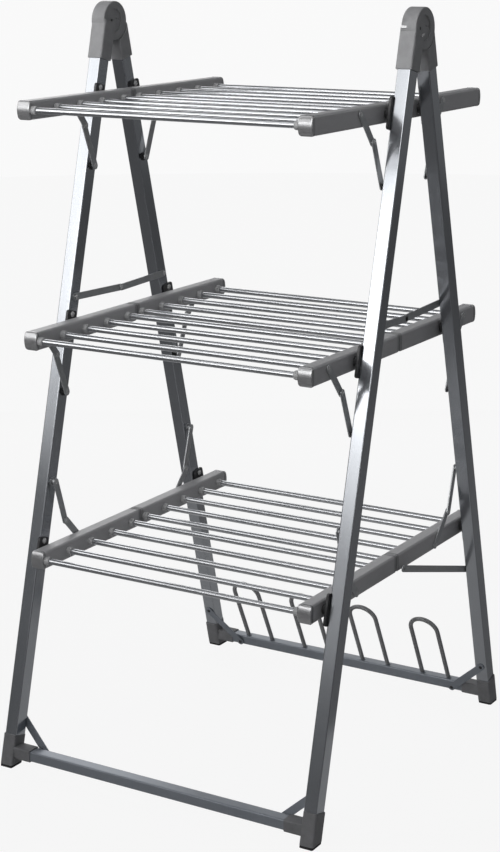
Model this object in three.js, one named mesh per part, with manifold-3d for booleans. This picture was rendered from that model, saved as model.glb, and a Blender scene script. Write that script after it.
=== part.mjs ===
// Heated clothes airer: two leaning leg frames that meet in hinge caps at the top, and three tiers of
// heated wings. Each tier has a front wing and a back wing. A wing is a ladder of five heating tubes
// between two hollow rails. It pivots on brackets on its own frame's legs, and two-link stays hold it.
// Millimetres, +X to the right, +Y to the back, +Z up, origin on the floor under the middle.
import * as THREE from "three";
import { mergeVertices } from "three/addons/utils/BufferGeometryUtils.js";
import Module from "manifold-3d";

const wasm = await Module();
wasm.setup();

// General clearances.
const gap = 0.3; // between pieces that touch
const overrun = 1; // how far a cutter passes the face it opens
const bite = 0.8; // how far a fused piece reaches into what carries it

// Leg frames.
const hingeHeight = 1383; // hinge axis above the floor
const topShare = 0.8966; // of the hinge's height, as are the next three
const middleShare = 0.59364;
const bottomShare = 0.28995;
const spreaderShare = 0.63116;
const splay = THREE.MathUtils.degToRad(14.35); // lean of each leg
const legSetback = 18.2; // leg's centre line from the hinge axis, at the height of that axis
const legWidth = 25; // across the airer
const legDepth = 29.3; // in the plane of the A, square to the leg
const legCorner = 3;
const legWall = 1.6;

// Rails and tubes of a wing.
const railSpan = 548; // between the inner faces of the left and the right rail
const railWidth = 27;
const railHeight = 34;
const railCorner = 6;
const railWall = 2;
const wingOverhang = 48.1; // of each wing's outer end past the bottom wing pivots
const centreGap = 3; // between the inner ends of a tier's front and back wing
const endWall = 4; // closing wall at each end of a rail
const plugRound = 8; // rounding under the inner end, which clears the other wing in the fold
const endCapLength = 10;
const endCapProud = 0.4;
const endCapChamfer = 2.2;
const tubeCount = 5;
const tubeRadius = 5;
const firstTube = 11; // first tube's axis from the wing's front end
const lastTube = 35.5; // last tube's axis from the wing's back end
const tubeReach = 3; // of a tube's end past the rail's wall
const tubeClearance = 0.3;
const wireRadius = 1.9;
const wireLoop = 15; // reach of the bend that sets how far a wire loop swings past the tubes

// Wing pivots and their brackets on the legs.
const legClearance = 14; // between a rail's outer face and the leg
const pivotOutboard = 8.5; // wing pivot outboard of the leg's centre line
const pivotRadius = 5;
const pivotFloor = 1; // left between the blind pivot bore and the leg
const bossRadius = 10;
const bracketWidth = 33;
const bracketHeight = 58;
const bracketCorner = 5;
const bracketThickness = 5.5;

// Two-link stays: places are from the wing's pivot, outboard and up.
const linkWidth = 14;
const linkThickness = 2.5;
const linkGap = 0.4;
const rivetRadius = 3.5;
const rivetHeadRadius = 4.7;
const rivetHead = 1;
const studRadius = 5;
const upperStay = { railOut: 96.5, railUp: 6, legDrop: 124, railLink: 66, legLink: 85, kneeSide: -1 };
const lowerStay = { railOut: -118, railUp: -8, legDrop: -129, railLink: 74, legLink: 87, kneeSide: -1 };
const stays = { top: upperStay, middle: upperStay, bottom: lowerStay };

// Spreader between the front and the back legs.
const spreaderSag = 5; // of the middle knuckle under the line between the two leg rivets
const spreaderWidth = 13.5;
const spreaderThickness = 2.2;
const spreaderPlay = 0.8; // of the leg rivets in the spreader's holes

// Hinge caps.
const discRadius = 37;
const tongueThickness = 13;
const hingePinRadius = 6;
const capInset = 2; // of a cap past the leg's inner face
const capOutset = 3; // of a cap past the leg's outer face
const sleeveDepth = 34.5;
const sleeveEnd = 73; // of the sleeve from the hinge's height, along the leg
const sleeveHold = 35; // length of leg held in the sleeve
const sleeveCorner = 4;

// Feet, crossbars, gussets and the low strut.
const footWidth = 28.4;
const footDepth = 33.4;
const footHeight = 58;
const footSole = 12; // from the floor to the leg's lower end
const footOutset = 2.3; // of a foot past the leg's outer face
const barHeight = 20;
const barDepth = 25;
const barCentre = 28; // above the floor
const barCorner = 3;
const barWall = 1.6;
const barSocketSpan = 556; // between the inner mouths of the two bar sockets
const barHold = 30; // length of bar held in a socket
const socketWall = 3.5;
const gussetWidth = 15;
const gussetThickness = 2;
const gussetLegHeight = 91;
const gussetBarPlace = 256; // of the screw on the bar from the middle of the airer
const screwRadius = 4.5;
const screwHead = 1.5;
const strutWidth = 13;
const strutThickness = 3;
const strutDrop = 94; // of its leg rivet under the bottom wing pivots
const strutReach = 274; // from its leg rivet to its free end, towards the front
const strutRise = 81;

// Shoe hangers: bent wires on the back crossbar.
const hangerCount = 4;
const hangerPitch = 141.5;
const hangerWidth = 60;
const hangerLength = 165;
const hangerLean = THREE.MathUtils.degToRad(26);
const hangerRadius = 4.5;
const hangerHold = 4; // length of a hanger's wire inside the bar

const halfRoundPull = 4 / 3; // handle of a cubic curve that runs half round, as a share of its radius

// Facets of the round stretches.
const cornerSteps = 2;
const endSteps = 3;
const smallSides = 8;
const tubeSides = 8;
const bossSides = 10;
const discSides = 22;
const wireSides = 4;
const loopSteps = 4;
const hangerSteps = 12;
const hangerSides = 5;

// Places that follow from the sizes above.
const railInner = railSpan / 2;
const railOuter = railInner + railWidth;
const legInner = railOuter + legClearance;
const legCentre = legInner + legWidth / 2;
const legOuter = legInner + legWidth;
const railLinkFace = railOuter + linkGap;
const legLinkFace = railLinkFace + linkThickness + linkGap;
const studFace = legLinkFace + linkThickness + linkGap;
const capInner = legInner - capInset;
const capOuter = legOuter + capOutset;
const tubeEnd = railInner + railWall + tubeReach;
const slope = Math.tan(splay);
const legPlane = (height) => legSetback + (hingeHeight - height) * slope;
const tierHeights = {
  top: topShare * hingeHeight,
  middle: middleShare * hingeHeight,
  bottom: bottomShare * hingeHeight,
};
const spreaderHeight = spreaderShare * hingeHeight;
const strutLegHeight = tierHeights.bottom - strutDrop;
const wingLength = legPlane(tierHeights.bottom) + pivotOutboard + wingOverhang - centreGap / 2;
const tubePitch = (wingLength - firstTube - lastTube) / (tubeCount - 1);
const alongLeg = (height) => -(hingeHeight - height) / Math.cos(splay);

// A leg's own frame: X across the airer, Y square to the leg and outboard, Z up along the leg.
const legFrame = new THREE.Matrix4()
  .makeRotationX(splay)
  .setPosition(0, legSetback, hingeHeight);
const inLegFrame = (y, z) => {
  const point = new THREE.Vector3(0, y, z).applyMatrix4(legFrame.clone().invert());
  return new THREE.Vector2(point.y, point.z);
};

const finishes = {
  leg: new THREE.MeshStandardMaterial({ color: 0xa4a9b0, roughness: 0.38, metalness: 0.9 }),
  rail: new THREE.MeshStandardMaterial({ color: 0x6b6a6d, roughness: 0.5, metalness: 0.4 }),
  tube: new THREE.MeshStandardMaterial({ color: 0xd2d4d6, roughness: 0.22, metalness: 1 }),
  plastic: new THREE.MeshStandardMaterial({ color: 0x626265, roughness: 0.6, metalness: 0 }),
  stay: new THREE.MeshStandardMaterial({ color: 0x8b8d90, roughness: 0.4, metalness: 0.8 }),
};

// Solids from three.js geometry.
function solid(geometry, place) {
  const bare = new THREE.BufferGeometry();
  bare.setAttribute("position", geometry.getAttribute("position").clone());
  if (geometry.index) bare.setIndex(geometry.index.clone());
  if (place) bare.applyMatrix4(place);
  const merged = mergeVertices(bare, 1e-4);
  return new wasm.Manifold(
    new wasm.Mesh({
      numProp: 3,
      vertProperties: merged.attributes.position.array,
      triVerts: new Uint32Array(merged.index.array),
    }),
  );
}

const join = (...solids) => solids.reduce((whole, piece) => whole.add(piece));
const cut = (whole, ...tools) => tools.reduce((rest, tool) => rest.subtract(tool), whole);

function pieceOf(body, finish, name) {
  const made = body.getMesh();
  const geometry = new THREE.BufferGeometry();
  geometry.setAttribute("position", new THREE.BufferAttribute(made.vertProperties, 3));
  geometry.setIndex(new THREE.BufferAttribute(made.triVerts, 1));
  const faceted = geometry.toNonIndexed();
  faceted.computeVertexNormals();
  const mesh = new THREE.Mesh(faceted, finish);
  mesh.name = name;
  return mesh;
}

// Outlines, as lists of points that run anticlockwise.
function arc(x, y, radius, from, to, steps) {
  return Array.from({ length: steps + 1 }, (_, i) => {
    const angle = from + ((to - from) * i) / steps;
    return new THREE.Vector2(x + radius * Math.cos(angle), y + radius * Math.sin(angle));
  });
}

const circle = (x, y, radius, sides) => arc(x, y, radius, 0, 2 * Math.PI, sides).slice(0, sides);

function roundedBox(x, y, width, height, corner, steps = cornerSteps) {
  const round = Math.min(corner, width / 2.1, height / 2.1);
  const right = x + width / 2 - round;
  const left = x - width / 2 + round;
  const top = y + height / 2 - round;
  const low = y - height / 2 + round;
  const quarter = Math.PI / 2;
  return [
    ...arc(right, top, round, 0, quarter, steps),
    ...arc(left, top, round, quarter, 2 * quarter, steps),
    ...arc(left, low, round, 2 * quarter, 3 * quarter, steps),
    ...arc(right, low, round, 3 * quarter, 4 * quarter, steps),
  ];
}

function bar(from, to, width) {
  const turn = Math.atan2(to.y - from.y, to.x - from.x);
  const half = Math.PI / 2;
  return [
    ...arc(to.x, to.y, width / 2, turn - half, turn + half, endSteps),
    ...arc(from.x, from.y, width / 2, turn + half, turn + 3 * half, endSteps),
  ];
}

// Extrusions along each axis. The outline's two numbers are the next two axes in the order X, Y, Z.
const axisTurns = {
  x: new THREE.Matrix4().makeBasis(
    new THREE.Vector3(0, 1, 0),
    new THREE.Vector3(0, 0, 1),
    new THREE.Vector3(1, 0, 0),
  ),
  y: new THREE.Matrix4().makeBasis(
    new THREE.Vector3(0, 0, 1),
    new THREE.Vector3(1, 0, 0),
    new THREE.Vector3(0, 1, 0),
  ),
  z: new THREE.Matrix4(),
};

function extrude(axis, outline, from, to, place, bevel = 0) {
  const geometry = new THREE.ExtrudeGeometry(new THREE.Shape(outline), {
    depth: to - from - 2 * bevel,
    bevelEnabled: bevel > 0,
    bevelThickness: bevel,
    bevelSize: bevel,
    bevelOffset: -bevel,
    bevelSegments: 1,
  });
  geometry.translate(0, 0, from + bevel);
  geometry.applyMatrix4(axisTurns[axis]);
  return solid(geometry, place);
}

const rodX = (y, z, radius, from, to, sides = smallSides) =>
  extrude("x", circle(y, z, radius, sides), from, to);

// A round bore's facets lie outside its radius, so a pin of that radius clears them at any turn.
const boreX = (y, z, radius, from, to, sides = smallSides) =>
  rodX(y, z, radius / Math.cos(Math.PI / sides), from, to, sides);

function bentWire(path, radius, sides, steps) {
  return solid(
    new THREE.ExtrudeGeometry(new THREE.Shape(circle(0, 0, radius, sides)), {
      steps,
      extrudePath: path,
      bevelEnabled: false,
    }),
  );
}

// A leg in its own frame, with its three brackets, the stay studs and the spreader's stud.
function legSolid(hasStrut) {
  const top = -sleeveEnd + sleeveHold;
  const foot = alongLeg(footSole);
  const outer = roundedBox(legCentre, 0, legWidth, legDepth, legCorner, 1);
  const inner = roundedBox(
    legCentre,
    0,
    legWidth - 2 * legWall,
    legDepth - 2 * legWall,
    legCorner - legWall / 2,
    1,
  );
  let leg = cut(
    extrude("z", outer, foot, top),
    extrude("z", inner, foot - overrun, top + overrun),
  );
  const plateFace = legInner - bracketThickness;
  for (const [tier, height] of Object.entries(tierHeights)) {
    const pivot = inLegFrame(legPlane(height) + pivotOutboard, height);
    const stud = inLegFrame(...studPlace(tier));
    const plate = roundedBox(pivot.x, pivot.y, bracketWidth, bracketHeight, bracketCorner, 1);
    leg = join(
      leg,
      extrude("x", plate, plateFace, legInner + bite),
      rodX(pivot.x, pivot.y, bossRadius, railOuter + linkGap, plateFace + bite, bossSides),
      rodX(stud.x, stud.y, studRadius, studFace, legInner + bite),
    );
    const bore = [pivotRadius + gap, railOuter, legInner - pivotFloor];
    leg = cut(leg, boreX(pivot.x, pivot.y, ...bore));
  }
  const rivet = inLegFrame(legPlane(spreaderHeight), spreaderHeight);
  leg = join(leg, rodX(rivet.x, rivet.y, rivetRadius, spreaderFace, legInner + bite));
  if (hasStrut) {
    const seat = new THREE.Vector2(legPlane(strutLegHeight), strutLegHeight);
    const free = new THREE.Vector2(seat.x - strutReach, seat.y + strutRise);
    const start = inLegFrame(seat.x, seat.y);
    const end = inLegFrame(free.x, free.y);
    leg = join(
      leg,
      extrude("x", bar(start, end, strutWidth), plateFace, plateFace + strutThickness),
      rodX(start.x, start.y, strutWidth / 2.4, plateFace + bite, legInner + bite),
    );
  }
  return leg;
}

// Where a stay's stud stands on the leg, as a depth and a height in the airer's own frame.
function studPlace(tier) {
  const height = tierHeights[tier] - stays[tier].legDrop;
  return [legPlane(height), height];
}

// The spreader's two links lie in two layers beside the legs, the back one nearer the middle.
const frontSpreaderFace = legInner - gap - spreaderThickness;
const spreaderFace = frontSpreaderFace - linkGap - spreaderThickness;

function hingeCapSolid(isFork) {
  const middle = (capInner + capOuter) / 2;
  const tongue = [middle - tongueThickness / 2, middle + tongueThickness / 2];
  const sleeve = extrude(
    "z",
    roundedBox(middle, 0, capOuter - capInner, sleeveDepth, sleeveCorner),
    -sleeveEnd,
    0,
    legFrame,
  );
  const pocket = extrude(
    "z",
    roundedBox(legCentre, 0, legWidth + 2 * gap, legDepth + 2 * gap, legCorner, 1),
    -sleeveEnd - overrun,
    -sleeveEnd + sleeveHold + gap,
    legFrame,
  );
  const disc = (from, to, extra = 0) =>
    rodX(0, hingeHeight, discRadius + extra, from, to, discSides);
  const pin = (extra, from, to) =>
    rodX(0, hingeHeight, hingePinRadius + extra, from, to, bossSides);
  if (isFork) {
    const shell = join(sleeve, disc(capInner, capOuter));
    const slot = disc(tongue[0] - gap, tongue[1] + gap, gap);
    return join(cut(shell, slot, pocket), pin(0, capInner + bite, capOuter - bite));
  }
  const cheeks = [
    disc(capInner - overrun, tongue[0], gap),
    disc(tongue[1], capOuter + overrun, gap),
  ];
  const arm = join(cut(sleeve, ...cheeks, pocket), disc(...tongue));
  return cut(arm, pin(2 * gap, tongue[0] - overrun, tongue[1] + overrun));
}

function footSolid() {
  const middle = legOuter + footOutset - footWidth / 2;
  const barPlane = legPlane(barCentre);
  const sole = alongLeg(-footDepth);
  const block = extrude(
    "z",
    roundedBox(middle, 0, footWidth, footDepth, sleeveCorner, 1),
    sole,
    alongLeg(footHeight),
    legFrame,
  );
  const socket = extrude(
    "x",
    roundedBox(barPlane, barCentre, barDepth + 2 * socketWall, barHeight + 2 * socketWall, barCorner, 1),
    barSocketSpan / 2,
    middle,
  );
  const legPocket = extrude(
    "z",
    roundedBox(legCentre, 0, legWidth + 2 * gap, legDepth + 2 * gap, legCorner, 1),
    alongLeg(footSole) - gap,
    alongLeg(footHeight) + overrun,
    legFrame,
  );
  const barPocket = extrude(
    "x",
    roundedBox(barPlane, barCentre, barDepth + 2 * gap, barHeight + 2 * gap, barCorner, 1),
    barSocketSpan / 2 - overrun,
    barSocketSpan / 2 + barHold + gap,
  );
  const underFloor = solid(
    new THREE.BoxGeometry(4 * footWidth, 4 * footDepth, 4 * footDepth).translate(
      middle,
      legPlane(0),
      -2 * footDepth,
    ),
  );
  return cut(join(block, socket), legPocket, barPocket, underFloor);
}

// Crossbar with its two gussets, and on the back frame the shoe hangers.
function crossbarSolid(hasHangers) {
  const end = barSocketSpan / 2 + barHold;
  const plane = legPlane(barCentre);
  let whole = cut(
    extrude("x", roundedBox(plane, barCentre, barDepth, barHeight, barCorner, 1), -end, end),
    extrude(
      "x",
      roundedBox(plane, barCentre, barDepth - 2 * barWall, barHeight - 2 * barWall, barCorner, 1),
      -end - overrun,
      end + overrun,
    ),
  );
  const face = -legDepth / 2 - gap;
  const back = face - gussetThickness;
  const barFace = -(barDepth / 2) * Math.cos(splay);
  for (const side of [-1, 1]) {
    const onLeg = new THREE.Vector2(alongLeg(gussetLegHeight), side * legCentre);
    const onBar = new THREE.Vector2(alongLeg(barCentre), side * gussetBarPlace);
    const screw = (place, from, to) =>
      extrude("y", circle(place.x, place.y, screwRadius, smallSides), from, to, legFrame);
    whole = join(
      whole,
      extrude("y", bar(onLeg, onBar, gussetWidth), back, face, legFrame),
      screw(onLeg, back - screwHead, back + bite),
      screw(onBar, back - screwHead, barFace + barWall),
    );
  }
  if (!hasHangers) return whole;
  for (let i = 0; i < hangerCount; i += 1)
    whole = join(whole, hangerSolid((i - (hangerCount - 1) / 2) * hangerPitch, plane));
  return whole;
}

function hangerSolid(middle, plane) {
  const base = barCentre + barHeight / 2 - hangerHold;
  const at = (x, up) =>
    new THREE.Vector3(
      middle + x,
      plane - up * Math.sin(hangerLean),
      base + up * Math.cos(hangerLean),
    );
  const half = hangerWidth / 2;
  const shoulder = hangerLength - half;
  const pull = shoulder + halfRoundPull * half;
  const path = new THREE.CurvePath();
  path.add(new THREE.LineCurve3(at(-half, 0), at(-half, shoulder)));
  path.add(
    new THREE.CubicBezierCurve3(at(-half, shoulder), at(-half, pull), at(half, pull), at(half, shoulder)),
  );
  path.add(new THREE.LineCurve3(at(half, shoulder), at(half, 0)));
  return bentWire(path, hangerRadius, hangerSides, hangerSteps);
}

// A wing's rail, with the wing's pivot as the origin and outboard as +Y.
function railSolid(pivotOut, tubePlaces, stay) {
  const inner = centreGap / 2 - pivotOut;
  const outer = inner + wingLength;
  const middle = railInner + railWidth / 2;
  const section = (extra, steps) =>
    roundedBox(0, middle, railHeight + 2 * extra, railWidth + 2 * extra, railCorner + extra, steps);
  const low = -railHeight / 2;
  const underEnd = [
    new THREE.Vector2(inner - overrun, low - overrun),
    new THREE.Vector2(inner + plugRound, low - overrun),
    ...arc(inner + plugRound, low + plugRound, plugRound, -Math.PI / 2, -Math.PI, 3),
    new THREE.Vector2(inner - overrun, low + plugRound),
  ];
  let rail = join(
    extrude("y", section(0), inner, outer - endCapLength / 2),
    extrude("y", section(endCapProud), outer - endCapLength, outer, null, endCapChamfer),
    rodX(0, 0, pivotRadius, railOuter - bite, legInner - pivotFloor - gap),
    rodX(stay.railOut, stay.railUp, rivetRadius, railOuter - bite, legLinkFace - linkGap),
  );
  rail = cut(
    rail,
    extrude("y", section(-railWall, 1), inner + endWall, outer - endWall),
    extrude("x", underEnd, railInner - overrun, railOuter + overrun),
    ...tubePlaces.map((y) =>
      boreX(y, 0, tubeRadius + tubeClearance, railInner - overrun, railInner + railWall + overrun),
    ),
  );
  return rail;
}

// The five tubes, joined inside the rails by the heating wire that runs through them in turn.
function tubesSolid(tubePlaces) {
  const tubes = tubePlaces.map((y) => rodX(y, 0, tubeRadius, -tubeEnd, tubeEnd, tubeSides));
  const loops = tubePlaces.slice(1).map((y, i) => {
    const side = i % 2 ? -1 : 1;
    const at = (place, reach) => new THREE.Vector3(side * (tubeEnd + reach), place, 0);
    const path = new THREE.CubicBezierCurve3(
      at(tubePlaces[i], -bite),
      at(tubePlaces[i], wireLoop),
      at(y, wireLoop),
      at(y, -bite),
    );
    return bentWire(path, wireRadius, wireSides, loopSteps);
  });
  return join(...tubes, ...loops);
}

// Where a stay's rail pivot, knee and leg end lie from the wing's pivot.
function stayPlaces(tier) {
  const stay = stays[tier];
  const height = tierHeights[tier];
  const rail = new THREE.Vector2(stay.railOut, stay.railUp);
  const [studOut, studHeight] = studPlace(tier);
  const leg = new THREE.Vector2(studOut - legPlane(height) - pivotOutboard, studHeight - height);
  const span = rail.distanceTo(leg);
  const along = (stay.railLink ** 2 - stay.legLink ** 2 + span ** 2) / (2 * span);
  const aside = Math.sqrt(Math.max(stay.railLink ** 2 - along ** 2, 0));
  const turn = leg.clone().sub(rail).normalize();
  const knee = rail
    .clone()
    .addScaledVector(turn, along)
    .add(new THREE.Vector2(-turn.y, turn.x).multiplyScalar(stay.kneeSide * aside));
  return { rail, knee, leg };
}

function railLinkSolid({ rail, knee }) {
  const outer = railLinkFace + linkThickness;
  const link = extrude("x", bar(rail, knee, linkWidth), railLinkFace, outer);
  const hole = boreX(rail.x, rail.y, rivetRadius + gap, railLinkFace - overrun, outer + overrun);
  const rivet = rodX(knee.x, knee.y, rivetRadius, outer - bite, legLinkFace + linkThickness);
  return join(cut(link, hole), rivet);
}

function legLinkSolid({ knee, leg }) {
  const outer = legLinkFace + linkThickness;
  const link = extrude("x", bar(knee, leg, linkWidth), legLinkFace, outer);
  const hole = boreX(knee.x, knee.y, rivetRadius + gap, legLinkFace - overrun, outer + overrun);
  const head = rodX(leg.x, leg.y, rivetHeadRadius, legLinkFace - rivetHead, legLinkFace + bite);
  return join(cut(link, hole), head);
}

// Spreader links in the airer's own frame, for the right side.
function spreaderSolid(isFront) {
  const onLeg = new THREE.Vector2((isFront ? -1 : 1) * legPlane(spreaderHeight), spreaderHeight);
  const knuckle = new THREE.Vector2(0, spreaderHeight - spreaderSag);
  const face = isFront ? frontSpreaderFace : spreaderFace;
  const outer = face + spreaderThickness;
  const link = extrude("x", bar(onLeg, knuckle, spreaderWidth), face, outer);
  const hole = (place, play) =>
    boreX(place.x, place.y, rivetRadius + play, face - overrun, outer + overrun);
  if (!isFront) return cut(link, hole(onLeg, spreaderPlay), hole(knuckle, gap));
  const pin = rodX(knuckle.x, knuckle.y, rivetRadius, spreaderFace, face + bite);
  return join(cut(link, hole(onLeg, gap)), pin);
}

// Assembly. A frame's pieces are modelled for the back right, mirrored for the left side, and turned
// half round for the front.
const airer = new THREE.Group();

function sides(parent, isFront, make) {
  for (const mirror of [1, -1]) {
    const half = new THREE.Group();
    half.scale.x = mirror;
    parent.add(half);
    const isRight = isFront ? mirror < 0 : mirror > 0;
    half.add(...make(isRight ? "right" : "left"));
  }
}

function addFrame(end) {
  const isFront = end === "front";
  const frame = new THREE.Group();
  frame.rotation.z = isFront ? Math.PI : 0;
  airer.add(frame);
  sides(frame, isFront, (side) => {
    const leg = pieceOf(legSolid(end === "back" && side === "right"), finishes.leg, `${end}_${side}_leg`);
    const leaning = new THREE.Group();
    leaning.position.set(0, legSetback, hingeHeight);
    leaning.rotation.x = splay;
    leaning.add(leg);
    return [
      leaning,
      pieceOf(footSolid(), finishes.plastic, `${end}_${side}_foot`),
      pieceOf(hingeCapSolid(isFront), finishes.plastic, `${end}_${side}_hinge_cap`),
    ];
  });
  frame.add(pieceOf(crossbarSolid(!isFront), finishes.leg, `${end}_crossbar`));
  for (const tier of Object.keys(tierHeights)) frame.add(wing(tier, end));
}

function wing(tier, end) {
  const isFront = end === "front";
  const height = tierHeights[tier];
  const pivotOut = legPlane(height) + pivotOutboard;
  const whole = new THREE.Group();
  whole.position.set(0, pivotOut, height);
  const inner = centreGap / 2 - pivotOut;
  const tubePlaces = Array.from({ length: tubeCount }, (_, i) => {
    const fromFront = firstTube + i * tubePitch;
    return inner + (isFront ? wingLength - fromFront : fromFront);
  });
  const places = stayPlaces(tier);
  sides(whole, isFront, (side) => [
    pieceOf(railSolid(pivotOut, tubePlaces, stays[tier]), finishes.rail, `${tier}_${end}_${side}_rail`),
    pieceOf(railLinkSolid(places), finishes.stay, `${tier}_${end}_${side}_stay_rail_link`),
    pieceOf(legLinkSolid(places), finishes.stay, `${tier}_${end}_${side}_stay_leg_link`),
  ]);
  whole.add(pieceOf(tubesSolid(tubePlaces), finishes.tube, `${tier}_${end}_heating_tubes`));
  return whole;
}

addFrame("front");
addFrame("back");
sides(airer, false, (side) => [
  pieceOf(spreaderSolid(true), finishes.stay, `${side}_spreader_front_link`),
  pieceOf(spreaderSolid(false), finishes.stay, `${side}_spreader_back_link`),
]);

export default airer;
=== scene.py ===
"""Heated clothes airer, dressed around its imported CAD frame.

Metres, +X to the right, +Y to the back, +Z up. Pieces are modelled for the back right of the airer
and mirrored to its other three corners.
"""

import math

import bmesh
import bpy
from bpy.props import FloatProperty, FloatVectorProperty, IntProperty, PointerProperty
from mathutils import Matrix, Vector


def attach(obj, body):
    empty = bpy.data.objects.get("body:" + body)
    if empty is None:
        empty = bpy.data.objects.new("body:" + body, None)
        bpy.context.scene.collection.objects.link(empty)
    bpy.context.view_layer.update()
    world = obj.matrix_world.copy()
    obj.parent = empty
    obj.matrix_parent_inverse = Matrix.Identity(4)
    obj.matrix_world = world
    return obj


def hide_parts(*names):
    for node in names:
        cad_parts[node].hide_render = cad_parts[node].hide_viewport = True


bl_info = {
    "name": "Heated clothes airer",
    "version": (1, 0, 0),
    "blender": (4, 5, 0),
    "location": "View3D > Sidebar > Airer",
    "description": "Models and finishes a three-tier heated clothes airer around its CAD frame",
    "category": "Add Mesh",
}

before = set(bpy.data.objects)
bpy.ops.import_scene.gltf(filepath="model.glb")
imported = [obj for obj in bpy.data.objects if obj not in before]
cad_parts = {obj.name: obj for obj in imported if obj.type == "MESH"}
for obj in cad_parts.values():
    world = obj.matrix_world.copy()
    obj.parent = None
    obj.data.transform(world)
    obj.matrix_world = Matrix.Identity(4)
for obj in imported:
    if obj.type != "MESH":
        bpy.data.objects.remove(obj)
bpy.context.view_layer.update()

OVERRUN = 0.002  # of a cutter past what it cuts
GAP = 0.0003  # between pieces that pass or carry each other
NEAR = 1e-5  # within which two places are one

# Legs. Places along a leg are from the hinge's height.
SPLAY = math.radians(14.35)
HINGE_HEIGHT = 1.383
LEG_SETBACK = 0.0182
LEG_INNER, LEG_OUTER = 0.3142, 0.3402
LEG_CENTRE = (LEG_INNER + LEG_OUTER) / 2
LEG_DEPTH = 0.0293
LEG_CORNER, LEG_END_EDGE = 0.0022, 0.0006
LEG_END_HEIGHT = 0.012
SLEEVE_END, SLEEVE_HOLD = -0.073, 0.035
LEG_FRAME = Matrix.Translation((0, LEG_SETBACK, HINGE_HEIGHT)) @ Matrix.Rotation(SPLAY, 4, "X")

# Wings.
TIERS = {"top": 1.240, "middle": 0.821, "bottom": 0.401}
RAIL_INNER, RAIL_OUTER = 0.274, 0.301
RAIL_HEIGHT, RAIL_CORNER = 0.034, 0.0045
RAIL_LAP = 0.001  # of a rail's tube and of its plug's shank past their joints
WING_INNER, WING_OUTER = 0.0015, 0.326
PLUG_LENGTH, PLUG_EDGE, PLUG_ROUND = 0.006, 0.0009, 0.008
TUBE_RADIUS, TUBE_PITCH, TUBE_HOLD = 0.0056, 0.0695, 0.0025
TUBES = {
    "back": [0.0125 + TUBE_PITCH * i for i in range(5)],
    "front": [-0.315 + TUBE_PITCH * i for i in range(5)],
}
COLLAR_GAP, COLLAR_BITE = 0.0002, 0.0001
# Places before a collar's outer end, and how much smaller the collar is there.
COLLAR_NOSE = ((0.0022, 0), (0.0007, 0.0006), (0, 0.0017))

# Rail caps. A point of the front falls back by the inset from the rim that it lies nearest to.
CAP_LENGTH, CAP_PROUD, CAP_BACK_EDGE = 0.010, 0.0004, 0.0004
CAP_INSETS = (0.0004, 0.0008, 0.0010, 0.0012)
CROWN = {0.0: 0.0012, 0.0004: 0.0006, 0.0012: 0.0002, 0.0022: 0.00005}
CROWN_REACH = 0.003
RIB_WIDTH, RIB_HEIGHT, RIB_ROOT, RIB_PROUD = 0.0008, 0.023, 0.0012, 0.00016
RIB_EDGE, RIB_MARGIN = 0.0002, 0.0045
BARREL_RADIUS, BARREL_DEPTH = 0.031, 0.0045
BARREL_CUTS, BARREL_PITCH = 7, 0.002

# Brackets, stays and spreader.
PIVOT_OUTBOARD = 0.0085
BRACKET_FACE = 0.3095
BRACKET_WIDTH, BRACKET_HEIGHT = 0.028, 0.058
BRACKET_CORNER, BRACKET_EDGE = 0.005, 0.0012
LINK_WIDTH, LINK_THICKNESS, LINK_HOLE = 0.014, 0.0025, 0.0040
RAIL_LINK_FACE, LEG_LINK_FACE, STUD_FACE = 0.3014, 0.3043, 0.3072
RIVET_RADIUS = 0.0035
UPPER_STAY = {"rail": (0.0965, 0.006), "drop": 0.124, "lengths": (0.066, 0.085)}
LOWER_STAY = {"rail": (-0.118, -0.008), "drop": -0.129, "lengths": (0.074, 0.087)}
STAYS = {"top": UPPER_STAY, "middle": UPPER_STAY, "bottom": LOWER_STAY}
SPREADER_HEIGHT, SPREADER_SAG = 0.8729, 0.005
SPREADER_WIDTH, SPREADER_THICKNESS, SPREADER_HOLE = 0.0135, 0.0022, 0.0043
SPREADER_FACES = {"front": 0.3125, "back": 0.3099}
STRUT_WIDTH, STRUT_THICKNESS, STRUT_HOLE, STRUT_EDGE = 0.013, 0.003, 0.0032, 0.0006
STRUT_HEIGHT, STRUT_REACH, STRUT_RISE = 0.307, 0.284, 0.084

# Hinge caps. Rises are from the hinge's height.
DISC_RADIUS = 0.037
CAP_INNER, CAP_MIDDLE, CAP_OUTER = 0.3105, 0.328, 0.343
CAP_CORNER, CAP_MOUTH_EDGE, CAP_SHELL = 0.0035, 0.0008, 0.0034
DOME_INNER, DOME_EDGE = 0.313, 0.0022
TONGUE = 0.0065  # half of its thickness
SLEEVE_DEPTH = 0.0345
MOUTH_DROP, MOUTH_REACH = 0.010, 0.020
POCKET_GAP, POCKET_DEPTH = 0.0002, 0.010
# Recesses of a fork's cheeks: place in depth, rise, radius, depth of the cut, sides.
DISH = (0.003, 0.001, 0.0225, 0.0026, 72)
DIMPLES = ((-0.0055, 0.004, 0.0022, 0.0040, 20), (-0.0150, 0.003, 0.0018, 0.0040, 20))
RELEASE_HOLE = (0.001, 0.0031, 0.0075, 28)
OUTER_HOLE, INNER_HOLE = 0.0165, 0.0085  # places in depth of the release hole
LUG_ENDS = ((-0.011, -0.0125), (-0.003, -0.0100))  # place in depth and rise
LUG_WIDTH, LUG_SUNK, LUG_PROUD = 0.0042, 0.0005, 0.0016
LATCH_RISE, LATCH_SUNK, LATCH_EDGE = 0.0040, 0.0012, 0.0006
LATCH_TILT = math.radians(-17)
LATCH_LOW = (DOME_INNER + 0.0006, -0.0016, -0.0025)
LATCH_HIGH = (CAP_MIDDLE - 0.0035, 0.0006, 0.0025)
WINDOW_INNER, WINDOW_OUTER = DOME_INNER + 0.0004, CAP_MIDDLE - 0.0033
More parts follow.
